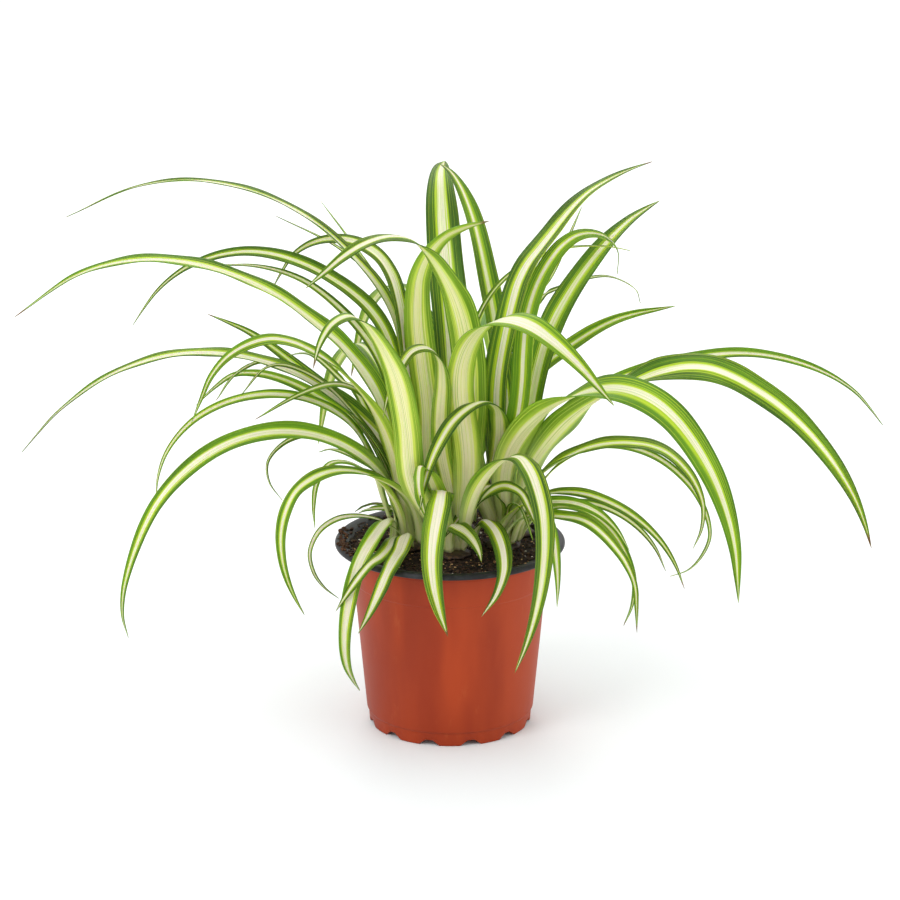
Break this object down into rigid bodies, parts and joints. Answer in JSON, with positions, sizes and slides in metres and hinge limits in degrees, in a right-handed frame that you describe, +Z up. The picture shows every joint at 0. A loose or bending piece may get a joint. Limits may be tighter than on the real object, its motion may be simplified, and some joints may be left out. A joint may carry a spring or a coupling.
{
  "type": "potted spider plant",
  "caption": "Spider plant with long arching striped strap leaves, rooted in dark soil in a tapered plastic nursery pot with a flared dark lip.",
  "frame": {"origin": "centre of the pot's underside, on the surface the pot stands on", "axes": "+Z up; +X to the plant's right, along its widest spread; -Y towards the front, where low leaves hang over the lip"},
  "size_m": [0.6308, 0.4027, 0.385],
  "materials": {
    "pot": "satin",
    "soil": "matte",
    "crown": "satin",
    "leaf": "satin"
  },
  "bodies": {
    "root": {"back_crown": "crown", "back_leaf_01": "leaf", "back_leaf_02": "leaf", "back_leaf_03": "leaf", "back_leaf_04": "leaf", "back_leaf_05": "leaf", "back_leaf_06": "leaf", "back_leaf_07": "leaf", "back_leaf_08": "leaf", "back_leaf_09": "leaf", "back_leaf_10": "leaf", "back_leaf_11": "leaf", "back_leaf_12": "leaf", "far_right_crown": "crown", "front_crown": "crown", "front_leaf_01": "leaf", "front_leaf_02": "leaf", "front_leaf_03": "leaf", "front_leaf_04": "leaf", "front_leaf_05": "leaf", "front_leaf_06": "leaf", "front_leaf_07": "leaf", "front_leaf_08": "leaf", "front_leaf_09": "leaf", "front_leaf_10": "leaf", "front_leaf_11": "leaf", "front_leaf_12": "leaf", "front_leaf_13": "leaf", "front_leaf_14": "leaf", "front_leaf_15": "leaf", "left_back_crown": "crown", "left_crown": "crown", "left_leaf_01": "leaf", "left_leaf_02": "leaf", "left_leaf_03": "leaf", "left_leaf_04": "leaf", "left_leaf_05": "leaf", "left_leaf_06": "leaf", "left_leaf_07": "leaf", "left_leaf_08": "leaf", "left_leaf_09": "leaf", "left_leaf_10": "leaf", "left_leaf_11": "leaf", "left_leaf_12": "leaf", "left_leaf_13": "leaf", "left_leaf_14": "leaf", "left_leaf_15": "leaf", "pot": "pot", "right_crown": "crown", "right_leaf_01": "leaf", "right_leaf_02": "leaf", "right_leaf_03": "leaf", "right_leaf_04": "leaf", "right_leaf_05": "leaf", "right_leaf_06": "leaf", "right_leaf_07": "leaf", "right_leaf_08": "leaf", "right_leaf_09": "leaf", "right_leaf_10": "leaf", "soil": "soil"}
  },
  "joints": []
}
